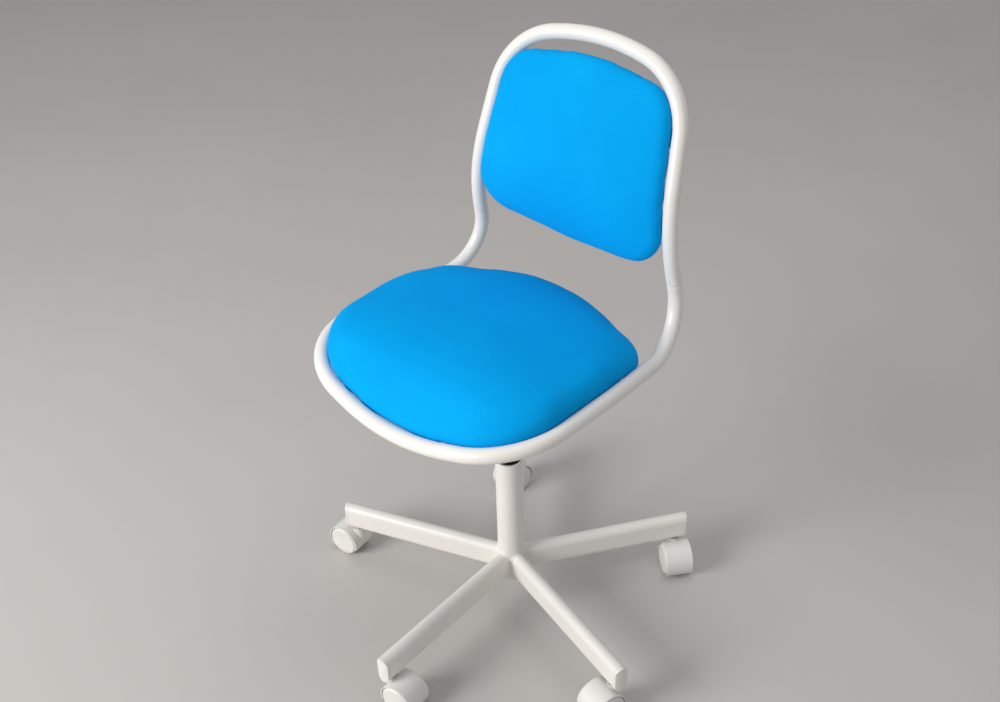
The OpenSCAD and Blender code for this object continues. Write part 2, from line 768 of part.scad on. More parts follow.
// Height lever: a nose on the button, a hub on the pin and a handle out to the sitter's right
lever_w = 14;
hub_d = 12;
handle_d = 8;
handle_reach = 162;
handle_drop = 20;
handle_end = [-handle_reach, 0, pivot_z - handle_drop];
knob_d = 15;
knob_length = 34;
module lever_arm() color(steel) {
    start = [pivot_x - 3, 0, pivot_z];
    difference() {
        union() {
            translate([0, lever_w / 2, pivot_z]) rotate([90, 0, 0]) cylinder(r = nose_r, h = lever_w);
            translate([pivot_x, lever_w / 2, pivot_z]) rotate([90, 0, 0]) cylinder(d = hub_d, h = lever_w);
            translate([pivot_x, -lever_w / 2, pivot_z - nose_r]) cube([-pivot_x, lever_w, 2 * nose_r]);
            stretch(start, handle_end, handle_d, 0);
        }
        translate([pivot_x, lever_w, pivot_z])
            rotate([90, 0, 0]) cylinder(d = pivot_d + 2 * running_gap, h = 2 * lever_w);
    }
}
module lever_knob() color(black) {
    dir = unit(handle_end - [pivot_x - 3, 0, pivot_z]);
    difference() {
        stretch(handle_end - dir * (knob_length - 4), handle_end + dir * 4, knob_d, 0);
        stretch(handle_end - dir * knob_length, handle_end, handle_d, 0);
    }
}

// Star base
module oval(w, h) {
    square([w, h - w], center = true);
    translate([0, (h - w) / 2]) circle(d = w);
    translate([0, -(h - w) / 2]) circle(d = w);
}
module along_arm(k) rotate([0, 0, arm_angle[k]]) children();
module oval_bar(from, to, w, h) {
    translate([from, 0, arm_z + arm_h / 2])
        rotate([90, 0, 90])
            linear_extrude(to - from)
                oval(w, h);
}
stem_reach = arm_reach - stem_setback;
tube_end = arm_reach - cap_t;
plug_w = arm_w - 2 * arm_wall - 2 * running_gap;
plug_h = arm_h - 2 * arm_wall - 2 * running_gap;
plug_grip = 16;
plug_length = stem_setback + plug_grip;
stem_hole_d = stem_d + 1.4;
stem_top = arm_z + arm_h - 6;
cap_round = 24;
module arm(k) color(white) along_arm(k) {
    difference() {
        oval_bar(column_d / 2 - 6, tube_end, arm_w, arm_h);
        oval_bar(column_d / 2 - 7, tube_end + 1, arm_w - 2 * arm_wall, arm_h - 2 * arm_wall);
        translate([0, 0, arm_z - 1]) cylinder(d = column_d, h = arm_h + 2);
        translate([stem_reach, 0, arm_z - 1]) cylinder(d = stem_hole_d, h = arm_h / 2);
    }
}
module arm_cap(k) color(white) along_arm(k) {
    difference() {
        union() {
            intersection() {
                oval_bar(tube_end, arm_reach, arm_w, arm_h);
                translate([arm_reach - cap_round, 0, arm_z - 1]) cylinder(r = cap_round, h = arm_h + 2);
            }
            oval_bar(tube_end - plug_length, tube_end, plug_w, plug_h);
        }
        translate([stem_reach, 0, arm_z - 1]) cylinder(d = stem_d + 2 * running_gap, h = stem_top - arm_z + 1.5);
    }
}

// Castors: the frame of each one has +X along its trail, from the swivel axis
module at_caster(k) {
    along_arm(k) translate([stem_reach, 0, 0])
        rotate([0, 0, trail_angle[k] - arm_angle[k]]) children();
}
axle_z = wheel_d / 2;
hood_cut_z = 11;
hood_cut_slope = 12;
hood_top = arm_z - 2;
web_t = 5;
wheel_gap = 1.2;
boss_d = 17;
stem_foot_d = 8;
collar_d = 14;
// The stem's foot stops just above the wheels
wheel_room = wheel_d / 2 + wheel_gap;
foot_z = axle_z + sqrt(pow(wheel_room, 2) - pow(trail - stem_foot_d / 2, 2)) + 0.5;
module across(r, from, to) {
    translate([trail, 0, axle_z])
        rotate([90, 0, 0])
            translate([0, 0, from])
                cylinder(r = r, h = to - from);
}
module caster_hood(k) color(white) at_caster(k) {
    difference() {
        union() {
            across(hood_d / 2, -hood_w / 2, hood_w / 2);
            translate([0, 0, axle_z]) cylinder(d = boss_d, h = hood_top - axle_z);
        }
        for (side = [-1, 1])
            across(wheel_room,
                side > 0 ? web_t / 2 : -boss_d - hood_w, side > 0 ? boss_d + hood_w : -web_t / 2);
        translate([trail, 0, hood_cut_z])
            rotate([0, hood_cut_slope, 0])
                translate([-hood_d, -hood_w, -hood_d]) cube([2 * hood_d, 2 * hood_w, hood_d]);
        across(axle_d / 2, -web_t, web_t);
        translate([0, 0, foot_z]) cylinder(d = stem_foot_d, h = hood_top + 1 - foot_z);
    }
}
module caster_stem(k) color(steel) at_caster(k) {
    translate([0, 0, foot_z]) cylinder(d = stem_foot_d, h = hood_top + 1 - foot_z);
    translate([0, 0, hood_top]) cylinder(d = collar_d, h = arm_z - hood_top - 0.2);
    translate([0, 0, hood_top + 1]) cylinder(d = stem_d, h = stem_top - hood_top - 1);
}
axle_length = hood_w - 3;
module caster_axle(k) color(steel) at_caster(k) across(axle_d / 2, -axle_length / 2, axle_length / 2);

// Wheel: a tread under the hood, a face with a sloped edge just outside it
wheel_in = web_t / 2 + 0.6;
tread_edge = 1;
face_edge = 2.5;
face_out = wheel_span / 2;
module wheel_profile() {
    r = wheel_d / 2;
    difference() {
        polygon([
            [0, wheel_in], [r - tread_edge, wheel_in], [r, wheel_in + tread_edge],
            [r, face_out - face_edge], [r - face_edge, face_out], [0, face_out]
        ]);
        translate([0, wheel_in - 1])
            square([axle_d / 2 + running_gap, axle_length / 2 + 0.3 - wheel_in + 1]);
    }
}
module wheel(k, side) color(white) at_caster(k) {
    translate([trail, 0, axle_z])
        rotate([side * 90, 0, 0])
            rotate_extrude()
                wheel_profile();
}

column_tube();
column_floor();
guide_bushing();
arm(0);  // arm_1
arm(1);  // arm_2
arm(2);  // arm_3
arm(3);  // arm_4
arm(4);  // arm_5
arm_cap(0);  // arm_cap_1
arm_cap(1);  // arm_cap_2
arm_cap(2);  // arm_cap_3
arm_cap(3);  // arm_cap_4
arm_cap(4);  // arm_cap_5
piston_rod();
thrust_washer();
rod_clip();
gas_cylinder();
cone_socket();
mechanism_tray();
lever_pin();
seat_bar_front();
seat_bar_rear();
seat_tube();
back_tube();
joint_pins();
seat_board();
seat_cushion();
seat_bolts();
back_tabs();
back_board();
back_cushion();
back_screws();
lever_arm();
lever_knob();
release_button();
caster_hood(0);  // caster_hood_1
caster_hood(1);  // caster_hood_2
caster_hood(2);  // caster_hood_3
caster_hood(3);  // caster_hood_4
caster_hood(4);  // caster_hood_5
caster_stem(0);  // caster_stem_1
caster_stem(1);  // caster_stem_2
caster_stem(2);  // caster_stem_3
caster_stem(3);  // caster_stem_4
caster_stem(4);  // caster_stem_5
caster_axle(0);  // caster_axle_1
caster_axle(1);  // caster_axle_2
caster_axle(2);  // caster_axle_3
caster_axle(3);  // caster_axle_4
caster_axle(4);  // caster_axle_5
wheel(0, 1);  // wheel_left_1
wheel(1, 1);  // wheel_left_2
wheel(2, 1);  // wheel_left_3
wheel(3, 1);  // wheel_left_4
wheel(4, 1);  // wheel_left_5
wheel(0, -1);  // wheel_right_1
wheel(1, -1);  // wheel_right_2
wheel(2, -1);  // wheel_right_3
wheel(3, -1);  // wheel_right_4
wheel(4, -1);  // wheel_right_5
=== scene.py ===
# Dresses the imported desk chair: materials, padded cushions, hems with staples, weld beads,
# camera, floor and light. Everything is in metres, in the frame of the CAD model.
import json
import math

import bmesh
import bpy
import numpy as np
from mathutils import Matrix, Vector
from mathutils.bvhtree import BVHTree


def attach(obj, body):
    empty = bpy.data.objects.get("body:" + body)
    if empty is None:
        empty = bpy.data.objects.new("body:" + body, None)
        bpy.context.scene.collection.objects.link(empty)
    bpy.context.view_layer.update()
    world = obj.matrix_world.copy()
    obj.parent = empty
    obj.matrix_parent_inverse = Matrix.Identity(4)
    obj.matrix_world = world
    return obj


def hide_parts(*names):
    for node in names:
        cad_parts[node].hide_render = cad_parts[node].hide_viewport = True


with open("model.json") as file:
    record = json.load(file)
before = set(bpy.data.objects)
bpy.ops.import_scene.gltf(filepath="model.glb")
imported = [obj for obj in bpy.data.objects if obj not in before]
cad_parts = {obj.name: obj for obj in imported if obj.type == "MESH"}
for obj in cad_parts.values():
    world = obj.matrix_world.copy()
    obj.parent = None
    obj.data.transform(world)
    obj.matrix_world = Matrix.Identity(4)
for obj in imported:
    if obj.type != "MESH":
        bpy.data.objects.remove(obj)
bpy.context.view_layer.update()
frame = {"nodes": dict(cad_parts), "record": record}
nodes = frame["nodes"]
scene = bpy.context.scene


# Camera: the photograph's own place, above the chair's front and its sitter's left side
CAMERA_AT = Vector((0.8508, -0.9901, 1.3719))
AZIMUTH, ELEVATION, ROLL = (math.radians(v) for v in (41.0, 35.24, -1.77))
FOCAL_PIXELS, IMAGE_WIDTH = 1218.1, 1000
SENSOR_MM = 36.0
CLIP_NEAR, CLIP_FAR = 0.02, 60


def make_camera():
    flat = math.cos(ELEVATION)
    right = Vector((math.cos(AZIMUTH), math.sin(AZIMUTH), 0))
    look = Vector((-math.sin(AZIMUTH) * flat, math.cos(AZIMUTH) * flat, -math.sin(ELEVATION)))
    up = right.cross(look)
    x = right * math.cos(ROLL) + up * math.sin(ROLL)
    y = up * math.cos(ROLL) - right * math.sin(ROLL)
    data = bpy.data.cameras.new("camera")
    data.sensor_width = SENSOR_MM
    data.lens = FOCAL_PIXELS * SENSOR_MM / IMAGE_WIDTH
    data.clip_start, data.clip_end = CLIP_NEAR, CLIP_FAR
    camera = bpy.data.objects.new("camera", data)
    scene.collection.objects.link(camera)
    turned = Matrix((x, y, -look)).transposed().to_4x4()
    turned.translation = CAMERA_AT
    camera.matrix_world = turned
    scene.camera = camera


make_camera()


# Materials
NOISE_LOW, NOISE_HIGH = 0.3, 0.7    # most values of a noise texture lie between these
WEAVE_PITCH = 0.0011                # from one thread of the cloth to the next
FLOOR_SHADE_FADE = 90.0                   # the wheels' painted shade near the floor ends 1/90 m above the floor


def colour(r, g, b):
    """A colour as it looks on a screen, 0 to 255, made linear."""
    def linear(v):
        v /= 255
        return v / 12.92 if v <= 0.04045 else ((v + 0.055) / 1.055) ** 2.4

    return (linear(r), linear(g), linear(b), 1)


class Nodes:
    """A short way to build one material's node tree."""

    def __init__(self, name):
        self.material = bpy.data.materials.new(name)
        self.material.use_nodes = True
        self.tree = self.material.node_tree
        self.shader = self.tree.nodes["Principled BSDF"]
        self.place = self.new("ShaderNodeTexCoord").outputs["Object"]

    def new(self, kind, **settings):
        node = self.tree.nodes.new(kind)
        for key, value in settings.items():
            setattr(node, key, value)
        return node

    def link(self, source, target):
        self.tree.links.new(source, target)

    def put(self, node, socket, value):
        if isinstance(value, bpy.types.NodeSocket):
            self.link(value, node.inputs[socket])
        else:
            node.inputs[socket].default_value = value

    def math(self, operation, a, b, clamp=False):
        node = self.new("ShaderNodeMath", operation=operation, use_clamp=clamp)
        self.put(node, 0, a)
        self.put(node, 1, b)
        return node.outputs[0]

    def axes(self):
        node = self.new("ShaderNodeSeparateXYZ")
        self.link(self.place, node.inputs[0])
        return node.outputs

    def noise(self, scale, detail, rough=0.5, stretch=(1, 1, 1)):
        where = self.new("ShaderNodeMapping")
        where.inputs["Scale"].default_value = stretch
        self.link(self.place, where.inputs["Vector"])
        node = self.new("ShaderNodeTexNoise")
        self.link(where.outputs[0], node.inputs["Vector"])
        node.inputs["Scale"].default_value = scale
        node.inputs["Detail"].default_value = detail
        node.inputs["Roughness"].default_value = rough
        return node.outputs["Fac"]

    def ramp(self, value, *stops):
        node = self.new("ShaderNodeValToRGB")
        self.link(value, node.inputs[0])
        line = node.color_ramp
        while len(line.elements) < len(stops):
            line.elements.new(0.5)
        for element, (at, shade) in zip(line.elements, stops):
            element.position = at
            element.color = shade
        return node.outputs["Color"]

    def blend(self, factor, a, b):
        node = self.new("ShaderNodeMix", data_type="RGBA")
        self.put(node, 0, factor)
        self.put(node, 6, a)
        self.put(node, 7, b)
        return node.outputs[2]

    def spread(self, value, low, high):
        """A noise value spread over the range from low to high."""
        node = self.new("ShaderNodeMapRange")
        self.link(value, node.inputs["Value"])
        node.inputs["From Min"].default_value = NOISE_LOW
        node.inputs["From Max"].default_value = NOISE_HIGH
        node.inputs["To Min"].default_value = low
        node.inputs["To Max"].default_value = high
        return node.outputs[0]

    def drift(self, scale, detail, a, b):
        """A colour that drifts over the surface between two near shades."""
        return self.blend(self.spread(self.noise(scale, detail), 0, 1), a, b)

    def bump(self, height, strength, distance, normal=None):
        node = self.new("ShaderNodeBump")
        node.inputs["Strength"].default_value = strength
        node.inputs["Distance"].default_value = distance
        self.link(height, node.inputs["Height"])
        if normal is not None:
            self.link(normal, node.inputs["Normal"])
        return node.outputs[0]

    def rounded(self, radius):
        """Normals that round the edges off by a radius."""
        node = self.new("ShaderNodeBevel", samples=4)
        node.inputs["Radius"].default_value = radius
        return node.outputs[0]

    def finish(self, **sockets):
        for key, value in sockets.items():
            name = key.replace("_", " ").title().replace("Ior", "IOR")
            self.put(self.shader, name, value)
        return self.material


def paint(name, light, dark, rough, edge):
    """Sprayed paint: faint orange peel and a few scuffs."""
    m = Nodes(name)
    base = m.drift(7, 4, light, dark)
    scuffs = m.math("GREATER_THAN", m.noise(46, 6, rough=0.75), 0.735)
    base = m.blend(m.math("MULTIPLY", scuffs, 0.16), base, colour(150, 142, 134))
    peel = m.noise(620, 2)
    soft = m.noise(90, 2)
    normal = m.bump(peel, strength=0.10, distance=0.0004, normal=m.rounded(edge))
    normal = m.bump(soft, strength=0.06, distance=0.0008, normal=normal)
    return m.finish(
        base_color=base,
        roughness=m.spread(m.noise(130, 4), rough - 0.05, rough + 0.09),
        normal=normal,
        coat_weight=0.25,
        coat_roughness=0.22,
    )


def plastic(name, light, dark, rough, edge, grain=900):
    """Moulded plastic with a fine grain, also used for smooth black paint."""
    m = Nodes(name)
    base = m.drift(16, 4, light, dark)
    normal = m.bump(m.noise(grain, 2), strength=0.14, distance=0.0003, normal=m.rounded(edge))
    return m.finish(
        base_color=base,
        roughness=m.spread(m.noise(210, 4), rough - 0.06, rough + 0.08),
        normal=normal,
        specular_ior_level=0.45,
    )


def wheel_plastic(name, light, dark, floor_shade_colour, edge):
    """White plastic, with painted shade that darkens it near the floor where it rolls, broken up
    by noise.
    """
    m = Nodes(name)
    base = m.drift(20, 4, light, dark)
    mottle = m.spread(m.noise(300, 5, rough=0.7), 0, 1)
    # Painted shade: a darker brown colour mixed in within 1/90 m of the floor, broken up by noise
    height = m.math("MULTIPLY", m.axes()[2], FLOOR_SHADE_FADE)
    near_floor = m.math("SUBTRACT", 1.0, height, clamp=True)
    painted_floor_shade = m.math("MULTIPLY", m.math("MULTIPLY", mottle, near_floor), 0.45)
    base = m.blend(painted_floor_shade, base, floor_shade_colour)
    normal = m.bump(m.noise(800, 2), strength=0.12, distance=0.0003, normal=m.rounded(edge))
    return m.finish(base_color=base, roughness=m.spread(mottle, 0.34, 0.5), normal=normal)


def metal(name, tint, rough):
    """Bare steel, slightly uneven."""
    m = Nodes(name)
    base = m.drift(30, 4, tint, tuple(v * 0.78 for v in tint[:3]) + (1,))
    streak = m.noise(260, 4, rough=0.6)
    normal = m.bump(streak, strength=0.10, distance=0.0003, normal=m.rounded(0.0005))
    return m.finish(
        base_color=base,
        metallic=1.0,
        roughness=m.spread(streak, rough - 0.07, rough + 0.1),
        normal=normal,
    )


def plywood(name):
    """Bare veneer, its grain along x."""
    m = Nodes(name)
    grain = m.noise(60, 6, rough=0.65, stretch=(1, 14, 14))
    wide = m.noise(12, 3, stretch=(1, 6, 6))
    face = m.ramp(
        grain,
        (0.3, colour(176, 132, 88)),
        (0.55, colour(208, 170, 124)),
        (0.75, colour(222, 190, 148)),
    )
    face = m.blend(m.spread(wide, 0, 0.35), face, colour(168, 122, 80))
    normal = m.bump(grain, strength=0.25, distance=0.0004)
    return m.finish(base_color=face, roughness=m.spread(grain, 0.55, 0.75), normal=normal)


def fabric(name):
    """Woven cloth: threads both ways, thicker ones here and there, and a soft unevenness."""
    m = Nodes(name)
    waves = [m.math("SINE", m.math("MULTIPLY", axis, 2 * math.pi / WEAVE_PITCH), 0.0)
             for axis in m.axes()]
    weave = m.math("MULTIPLY", waves[0], waves[1])
    others = m.math(
        "ADD",
        m.math("MULTIPLY", waves[1], waves[2]),
        m.math("MULTIPLY", waves[2], waves[0]),
    )
    weave = m.math("ADD", weave, others)
    weave = m.math("MULTIPLY", m.math("ADD", weave, 1.0), 0.5)
    slub = m.noise(420, 3, rough=0.6)
    base = m.drift(11, 4, colour(1, 178, 249), colour(0, 168, 243))
    base = m.blend(m.math("MULTIPLY", m.spread(weave, 1, 0), 0.22), base, colour(0, 124, 212))
    base = m.blend(m.math("MULTIPLY", m.spread(slub, 0, 1), 0.12), base, colour(30, 186, 252))
    normal = m.bump(weave, strength=0.35, distance=0.0003)
    normal = m.bump(slub, strength=0.18, distance=0.0004, normal=normal)
    normal = m.bump(m.noise(55, 3), strength=0.10, distance=0.0016, normal=normal)
    return m.finish(
        base_color=base,
        roughness=m.spread(slub, 0.78, 0.92),
        normal=normal,
        sheen_weight=0.12,
        sheen_roughness=0.5,
        sheen_tint=colour(0, 150, 255),
        specular_ior_level=0.05,
    )


# For each slot its maker, with the light and dark shade, the roughness and the rounding of edges
RECIPES = {
    "white_steel": (paint, colour(246, 243, 237), colour(240, 236, 229), 0.34, 0.0008),
    "white_plastic": (plastic, colour(243, 241, 236), colour(236, 232, 226), 0.42, 0.0016),
    "castor_white": (plastic, colour(240, 238, 234), colour(231, 228, 223), 0.40, 0.0014),
    # The wheels' third colour is the painted shade near the floor
    "wheel_white": (wheel_plastic, colour(240, 238, 234), colour(228, 225, 220),
                    colour(140, 130, 120), 0.0009),
    "black_plastic": (plastic, colour(30, 30, 32), colour(22, 22, 24), 0.46, 0.0008),
    "black_steel": (plastic, colour(26, 26, 28), colour(18, 18, 20), 0.32, 0.0006, 500),
    "bright_steel": (metal, colour(206, 208, 212), 0.28),
    "dark_steel": (metal, colour(92, 94, 98), 0.42),
    "plywood": (plywood,),
    "blue_fabric": (fabric,),
}
MATERIALS = {slot: make(slot, *values) for slot, (make, *values) in RECIPES.items()}

for row in frame["record"]["subparts"]:
    node = nodes[row["node"]]
    node.data.materials.clear()
    node.data.materials.append(MATERIALS[row["material_slot"]])


# Cushions: foam and cloth, swollen from the solid that holds their place
SEAT_UP = Vector((0, 0, 1))
BACK_FRONT = Vector((0, -1, 0.15)).normalized()

VOXEL = 0.004                       # size of the remesh
EVEN_PASSES = 100                   # pairs of passes, one in and one out, to keep the volume
EVEN_IN, EVEN_OUT = 0.5, -0.52
PINNED, STILL = -0.55, -0.3         # facing away by more than this: held, and not swollen
SHRINK, PRESSURE, LAST_FRAME = 0.002, 4, 20
SLACK, TAUT = -0.014, -0.003        # the Cloth's movement that gives no swelling, and all of it
SWELL_PASSES, CLEAR_PASSES = 25, 10
TUBE_CLEARANCE, TUBE_SEARCH = 0.0006, 0.02
CLEAR_TRIES, CLEAR_CUT = 6, 0.6

# How far the cloth may stand proud of the solid
SEAT_ALL, SEAT_FLANK, SEAT_SHOULDER, SEAT_REAR, SEAT_FRONT = 0.0022, 0.003, 0.0024, 0.0032, 0.0036
BACK_ALL, BACK_TOP, BACK_CORNER, BACK_TUCK, BACK_SIDE = 0.0018, 0.0036, 0.0125, 0.0046, 0.0022
REAR_X, REAR_SPREAD = -0.07, 0.055


def step(low, high, value):
    """From 0 at low to 1 at high, smooth at both ends."""
    t = np.clip((value - low) / (high - low), 0, 1)
    return t * t * (3 - 2 * t)


def seat_room(place, facing):
    """How far the seat's cloth may swell: most on the shoulders, at the front and rear right."""
    x, y, rise = np.abs(place[:, 0]), place[:, 1], facing[:, 2]
    front_sides = step(0.03, 0.13, x) * (1 - step(-0.14, 0.0, y)) * step(-0.21, -0.1, y)
    corners = step(0.08, 0.135, x) * step(-0.05, 0.04, y)
    rear = step(0.03, 0.08, y) * np.exp(-((place[:, 0] - REAR_X) / REAR_SPREAD) ** 2)
    fuller = SEAT_SHOULDER * (1 - 0.9 * corners) + SEAT_REAR * rear + SEAT_FRONT * front_sides
    shoulder = step(-0.1, 0.35, rise) * (1 - step(0.82, 0.995, rise))
    flank = SEAT_FLANK * (1 - step(0.3, 0.7, np.abs(rise))) * (1 - 0.6 * corners)
    return SEAT_ALL + flank + shoulder * step(-0.24, -0.1, y) * fuller


def back_room(place, facing):
    """The pad is fuller above, and below only towards its lower corner on the sitter's left."""
    lean = step(-0.10, 0.13, place[:, 0])
    up, down = np.clip(facing[:, 2], 0, 1), np.clip(-facing[:, 2], 0, 1)
    side = np.abs(facing[:, 0])
    below = BACK_CORNER * lean - BACK_TUCK
    return BACK_ALL + BACK_TOP * up + below * down + BACK_SIDE * side * (1 + lean)


def surface(item):
    """An object's faces, for finding what is near them."""
    return BVHTree.FromPolygons([v.co for v in item.data.vertices],
                                [tuple(f.vertices) for f in item.data.polygons])


def evaluated(piece):
    return piece.evaluated_get(bpy.context.evaluated_depsgraph_get())


def apply_modifiers(piece):
    bpy.context.view_layer.update()
    piece.data = bpy.data.meshes.new_from_object(evaluated(piece))
    piece.modifiers.clear()


def coordinates(mesh):
    flat = np.empty(len(mesh.vertices) * 3, dtype=np.float64)
    mesh.vertices.foreach_get("co", flat)
    return flat.reshape(-1, 3)


def blown_up(piece, pinned):
    """Where the piece's points end as cloth under pressure."""
    pins = piece.vertex_groups.new(name="pins")
    pins.add([int(k) for k in np.nonzero(pinned)[0]], 1.0, "REPLACE")
    cloth = piece.modifiers.new("cloth", "CLOTH")
    settings = cloth.settings
    settings.quality = 6
    settings.mass = 0.4
    settings.tension_stiffness = settings.compression_stiffness = 14
    settings.shear_stiffness = 7
    settings.bending_stiffness = 2.0
    settings.use_pressure = True
    settings.uniform_pressure_force = PRESSURE
    settings.vertex_group_mass = "pins"
    settings.effector_weights.gravity = 0
    cloth.collision_settings.use_collision = False
    for k in range(1, LAST_FRAME + 1):
        scene.frame_set(k)
    moved = coordinates(evaluated(piece).data)
    piece.modifiers.clear()
    scene.frame_set(1)
    return moved


def soft_piece(name, node, body, up, room):
    piece = bpy.data.objects.new(name, nodes[node].data.copy())
    scene.collection.objects.link(piece)
    remesh = piece.modifiers.new("remesh", "REMESH")
    remesh.mode = "VOXEL"
    remesh.voxel_size = VOXEL
    apply_modifiers(piece)
    mesh = piece.data
    edges = np.array([tuple(e.vertices) for e in mesh.edges])
    count = np.bincount(edges.ravel(), minlength=len(mesh.vertices)).astype(float)[:, None]

    def neighbour_mean(values):
        total = np.zeros_like(values)
        np.add.at(total, edges[:, 0], values[edges[:, 1]])
        np.add.at(total, edges[:, 1], values[edges[:, 0]])
        return total / count

    def smoothed(values, passes):
        for _ in range(passes):
            values = 0.5 * values + 0.5 * neighbour_mean(values)
        return values

    # Even out the steps of the remesh and the solid's flat faces
    place = coordinates(mesh)
    for _ in range(EVEN_PASSES):
        for push in (EVEN_IN, EVEN_OUT):
            place += push * (neighbour_mean(place) - place)
    mesh.vertices.foreach_set("co", place.ravel())
    mesh.update()
    facing = np.array([tuple(v.normal) for v in mesh.vertices])
    upward = facing @ np.array(up)

    # The cloth swells in full where it is taut, and not on the side that lies on the board
    share = np.ones(len(place))
    pinned = upward < PINNED
    start = place - facing * np.where(pinned, 0, SHRINK)[:, None]
    mesh.vertices.foreach_set("co", start.ravel())
    moved = blown_up(piece, pinned)
    share = step(SLACK, TAUT, ((moved - place) * facing).sum(axis=1))
    share = smoothed(np.where(upward < STILL, 0, share)[:, None], SWELL_PASSES)
    swell = facing * share * room(place, facing)[:, None]

    # Where the swollen cloth would reach the tube it stays just clear of it
    for _ in range(CLEAR_TRIES):
        for k in np.nonzero(share[:, 0] > 0)[0]:
            at = Vector(place[k] + swell[k])
            for tube in TUBES:
                near, normal = tube.find_nearest(at, TUBE_SEARCH)[:2]
                if near is not None and (at - near).dot(normal) < TUBE_CLEARANCE:
                    swell[k] *= CLEAR_CUT
                    break
    mesh.vertices.foreach_set("co", (place + smoothed(swell, CLEAR_PASSES)).ravel())
    mesh.update()

    finer = piece.modifiers.new("finer", "SUBSURF")
    finer.levels = finer.render_levels = 1
    apply_modifiers(piece)
    for face in piece.data.polygons:
        face.use_smooth = True
    piece.data.materials.clear()
    piece.data.materials.append(MATERIALS["blue_fabric"])
    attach(piece, body)
    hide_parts(node)
    return piece


TUBES = [surface(nodes[name]) for name in ("seat_tube", "back_tube")]
seat_padding = soft_piece("seat_padding", "seat_cushion", "seat", SEAT_UP, seat_room)
back_padding = soft_piece("back_padding", "back_cushion", "seat", BACK_FRONT, back_room)


# What the hems, staples and weld beads share
def spaced(points, closed, gap):
    """The same line with its points about gap apart."""
    ends = points + points[:1] if closed else points
    lengths = [(b - a).length for a, b in zip(ends, ends[1:])]
    whole = sum(lengths)
    count = max(2, round(whole / gap))
    line = []
    for k in range(count if closed else count + 1):
        left = whole * k / count
        for a, b, length in zip(ends, ends[1:], lengths):
            if left <= length or b is ends[-1]:
                line.append(a.lerp(b, min(1, left / length)))
                break
            left -= length
    return line


def skin(mesh, rings, closed):
    """Faces from each ring of points to the next, with both ends closed if the line is open."""
    sides = len(rings[0])
    for here, there in zip(rings, rings[1:] + rings[:1] if closed else rings[1:]):
        for j in range(sides):
            mesh.faces.new((here[j], here[(j + 1) % sides], there[(j + 1) % sides], there[j]))
    if not closed:
        mesh.faces.new(rings[0][::-1])
        mesh.faces.new(rings[-1])


def finished(name, mesh, slot, body):
    bmesh.ops.recalc_face_normals(mesh, faces=mesh.faces)
    data = bpy.data.meshes.new(name)
    mesh.to_mesh(data)
    mesh.free()
    for face in data.polygons:
        face.use_smooth = True
    data.materials.append(MATERIALS[slot])
    item = bpy.data.objects.new(name, data)
    scene.collection.objects.link(item)
    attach(item, body)


# Cloth drawn over the edge of each board and stapled down
FACES_IT = 0.9                      # a face that looks towards a direction
WELDED = 1e-6                       # points nearer than this are one
HEM_STEP, HEM_WIDTH, HEM_THICK = 0.003, 0.016, 0.0009
HEM_OUT = (0.008, 0.0055, 0.003)    # where its outer side lies on the padding, out from the board
HEM_LIFT = (-0.0012, 0.0003, 0.0007)
HEM_SEARCH = 0.03
PULL_IN, PULL_UP, WAVE = 0.0012, 0.0004, 0.0006     # the staples draw it in and flat
STAPLE_GAP, STAPLE_PLACE, STAPLE_LIFT, STAPLE_STRAY = 0.036, 0.62, 0.0008, 0.0008
STAPLE_TURN = 12
CROWN, LEG_LOW, CROWN_HIGH, WIRE_BEND, WIRE_HEART = 0.0052, -0.0016, 0.0006, 0.0005, 0.001
WIRE_SECTION = ((0, -0.0006), (0, 0.0006), (0.0004, 0.00045), (0.0004, -0.00045))


def board_outline(node, towards):
    """The outer edge of a board's face that looks towards a direction."""
    solid = bmesh.new()
    solid.from_mesh(nodes[node].data)
    bmesh.ops.remove_doubles(solid, verts=solid.verts, dist=WELDED)
    face = {f for f in solid.faces if f.normal.dot(towards) > FACES_IT}
    rim = [e for e in solid.edges if sum(f in face for f in e.link_faces) == 1]
    beside = {}
    for e in rim:
        for here, there in (e.verts, reversed(e.verts)):
            beside.setdefault(here.index, []).append(there)
    longest, seen = [], set()
    for e in rim:
        v = e.verts[0]
        loop = []
        while v is not None and v.index not in seen:
            seen.add(v.index)
            loop.append(v.co.copy())
            v = next((n for n in beside[v.index] if n.index not in seen), None)
        if len(loop) > len(longest):
            longest = loop
    solid.free()
    return longest


def eased(values, passes):
    """Points or heights round a closed line, each drawn towards its two neighbours."""
    count = len(values)
    for _ in range(passes):
        values = [(values[k - 1] + values[k] * 2 + values[(k + 1) % count]) / 4
                  for k in range(count)]
    return values


def wire(mesh, at, along, across, up):
    """One staple: a flat wire with its crown level and both legs turned down."""
    bend = CROWN_HIGH - WIRE_BEND
    half = ((CROWN, LEG_LOW), (CROWN, bend), (CROWN - WIRE_BEND, CROWN_HIGH))
    rings = []
    for a, h in [(-a, h) for a, h in half] + list(reversed(half)):
        tip = Vector((a, h + WIRE_HEART)).normalized()
        rings.append([mesh.verts.new(at + along * (a + tip.x * t) + up * (h + tip.y * t)
                                     + across * w) for t, w in WIRE_SECTION])
    skin(mesh, rings, False)


